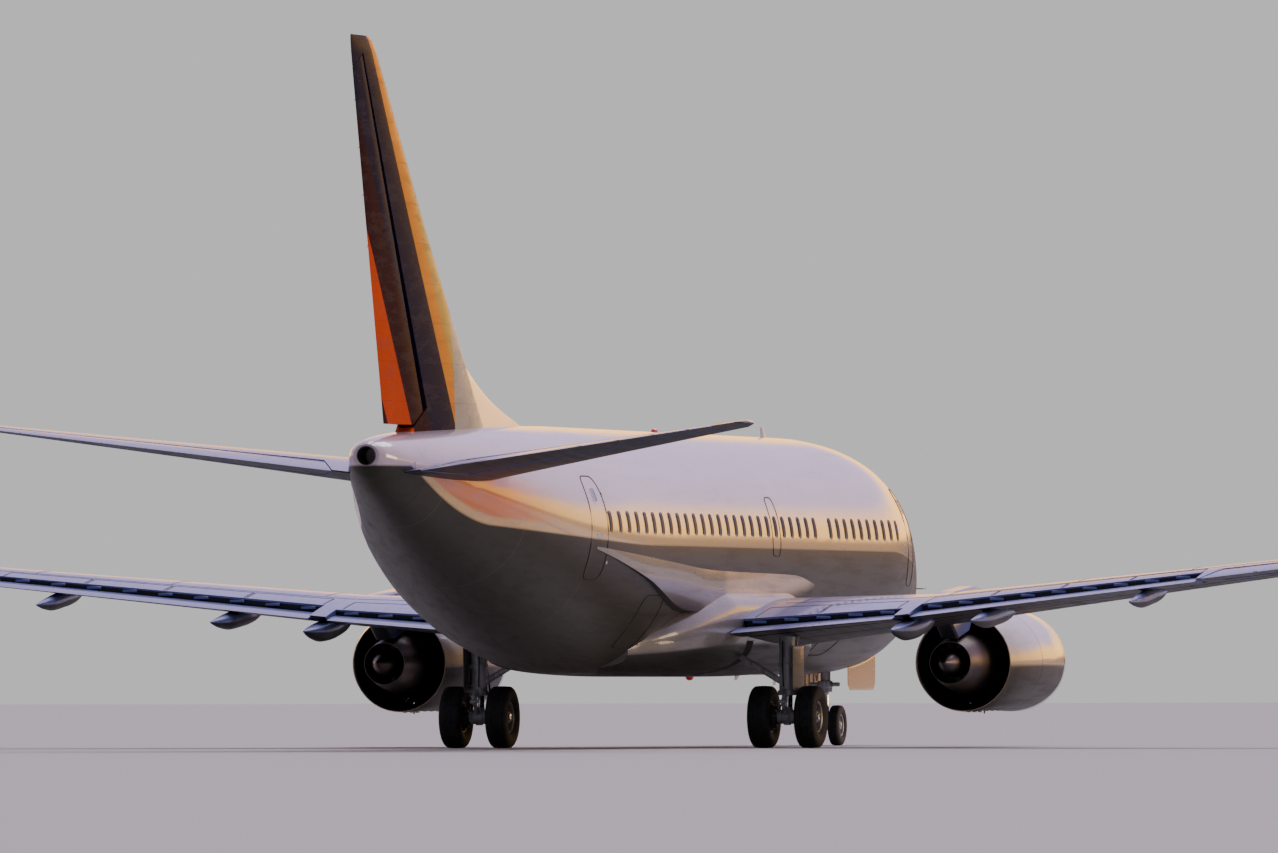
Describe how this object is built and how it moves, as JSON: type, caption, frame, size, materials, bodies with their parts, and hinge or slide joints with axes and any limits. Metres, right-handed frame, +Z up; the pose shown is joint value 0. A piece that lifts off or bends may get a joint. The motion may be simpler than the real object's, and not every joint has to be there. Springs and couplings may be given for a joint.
{
  "type": "twin-engined narrow-body airliner",
  "caption": "Low-winged passenger jet with a fan engine under each wing, standing on its twin-wheeled landing gear with the flaps a little down.",
  "frame": {"origin": "on the ground, under the middle of the overall length and span", "axes": "+X to the aircraft's right, +Y forward to the nose, +Z up"},
  "size_m": [28.88, 33.4, 11.13],
  "materials": {
    "cabin_skin": "gloss paint",
    "wing_skin": "gloss grey paint",
    "fairing_skin": "gloss grey paint",
    "fin_skin": "gloss paint with slanted bands",
    "cowl_skin": "gloss paint",
    "bare_lip": "polished",
    "hot_section": "heat-tinted",
    "fan_metal": "satin",
    "gear_paint": "gloss grey paint",
    "rim_metal": "satin",
    "tyre_rubber": "worn rubber"
  },
  "bodies": {
    "airframe": {"fuselage": "cabin_skin", "radome": "cabin_skin", "tail_cone": "cabin_skin", "dorsal_fin": "cabin_skin", "belly_fairing": "fairing_skin", "fin": "fin_skin", "wing_right": "wing_skin", "flap_inboard_right": "wing_skin", "flap_outboard_right": "wing_skin", "flap_fairing_inner_right": "wing_skin", "flap_fairing_middle_right": "wing_skin", "flap_fairing_outer_right": "wing_skin", "tailplane_right": "wing_skin", "pylon_right": "wing_skin", "inlet_lip_right": "bare_lip", "fan_cowl_right": "cowl_skin", "reverser_sleeve_right": "cowl_skin", "core_cowl_right": "hot_section", "engine_core_right": "hot_section", "main_gear_leg_right": "gear_paint", "main_gear_door_right": "fairing_skin", "nose_gear_door_right": "cabin_skin", "wing_left": "wing_skin", "flap_inboard_left": "wing_skin", "flap_outboard_left": "wing_skin", "flap_fairing_inner_left": "wing_skin", "flap_fairing_middle_left": "wing_skin", "flap_fairing_outer_left": "wing_skin", "tailplane_left": "wing_skin", "pylon_left": "wing_skin", "inlet_lip_left": "bare_lip", "fan_cowl_left": "cowl_skin", "reverser_sleeve_left": "cowl_skin", "core_cowl_left": "hot_section", "engine_core_left": "hot_section", "main_gear_leg_left": "gear_paint", "main_gear_door_left": "fairing_skin", "nose_gear_door_left": "cabin_skin", "nose_gear_leg": "gear_paint"},
    "rudder": {"rudder": "fin_skin"},
    "elevator_right": {"elevator_right": "wing_skin"},
    "elevator_left": {"elevator_left": "wing_skin"},
    "aileron_right": {"aileron_right": "wing_skin"},
    "aileron_left": {"aileron_left": "wing_skin"},
    "fan_right": {"fan_right": "fan_metal"},
    "fan_left": {"fan_left": "fan_metal"},
    "main_wheels_right": {"main_right_tyre_outer": "tyre_rubber", "main_right_tyre_inner": "tyre_rubber", "main_right_hub_outer": "rim_metal", "main_right_hub_inner": "rim_metal"},
    "main_wheels_left": {"main_left_tyre_outer": "tyre_rubber", "main_left_tyre_inner": "tyre_rubber", "main_left_hub_outer": "rim_metal", "main_left_hub_inner": "rim_metal"},
    "nose_steering": {"nose_gear_fork": "gear_paint"},
    "nose_wheels": {"nose_tyre_outer": "tyre_rubber", "nose_tyre_inner": "tyre_rubber", "nose_hub_outer": "rim_metal", "nose_hub_inner": "rim_metal"}
  },
  "joints": [
    {"name": "rudder_hinge", "type": "hinge", "parent": "airframe", "child": "rudder", "pos_m": [0, -12.86334, 5.3], "axis": [0, -0.4753, 0.8798], "range_deg": [-26, 26]},
    {"name": "elevator_right_hinge", "type": "hinge", "parent": "airframe", "child": "elevator_right", "pos_m": [1.13, -13.95202, 4.42919], "axis": [0.9137, -0.3894, 0.116], "range_deg": [-21, 21]},
    {"name": "elevator_left_hinge", "type": "hinge", "parent": "airframe", "child": "elevator_left", "pos_m": [-1.13, -13.95202, 4.42919], "axis": [0.9137, 0.3894, -0.116], "range_deg": [-21, 21]},
    {"name": "aileron_right_hinge", "type": "hinge", "parent": "airframe", "child": "aileron_right", "pos_m": [10.42, -1.95025, 2.79477], "axis": [0.948, -0.3025, 0.0986], "range_deg": [-20, 20]},
    {"name": "aileron_left_hinge", "type": "hinge", "parent": "airframe", "child": "aileron_left", "pos_m": [-10.42, -1.95025, 2.79477], "axis": [0.948, 0.3025, -0.0986], "range_deg": [-20, 20]},
    {"name": "fan_right_spin", "type": "hinge", "parent": "airframe", "child": "fan_right", "pos_m": [4.83, 5.5, 1.39], "axis": [0, 1, 0], "continuous": true},
    {"name": "fan_left_spin", "type": "hinge", "parent": "airframe", "child": "fan_left", "pos_m": [-4.83, 5.5, 1.39], "axis": [0, 1, 0], "continuous": true},
    {"name": "main_wheels_right_spin", "type": "hinge", "parent": "airframe", "child": "main_wheels_right", "pos_m": [2.615, 0.24, 0.508], "axis": [1, 0, 0], "continuous": true},
    {"name": "main_wheels_left_spin", "type": "hinge", "parent": "airframe", "child": "main_wheels_left", "pos_m": [-2.615, 0.24, 0.508], "axis": [1, 0, 0], "continuous": true},
    {"name": "nose_steering", "type": "hinge", "parent": "airframe", "child": "nose_steering", "pos_m": [0, 12.69, 0.98], "axis": [0, 0, 1], "range_deg": [-78, 78]},
    {"name": "nose_wheels_spin", "type": "hinge", "parent": "nose_steering", "child": "nose_wheels", "pos_m": [0, 12.69, 0.343], "axis": [1, 0, 0], "continuous": true}
  ],
  "couplings": [
    {"joint": "elevator_left_hinge", "follows": "elevator_right_hinge", "ratio": 1},
    {"joint": "aileron_left_hinge", "follows": "aileron_right_hinge", "ratio": -1}
  ]
}
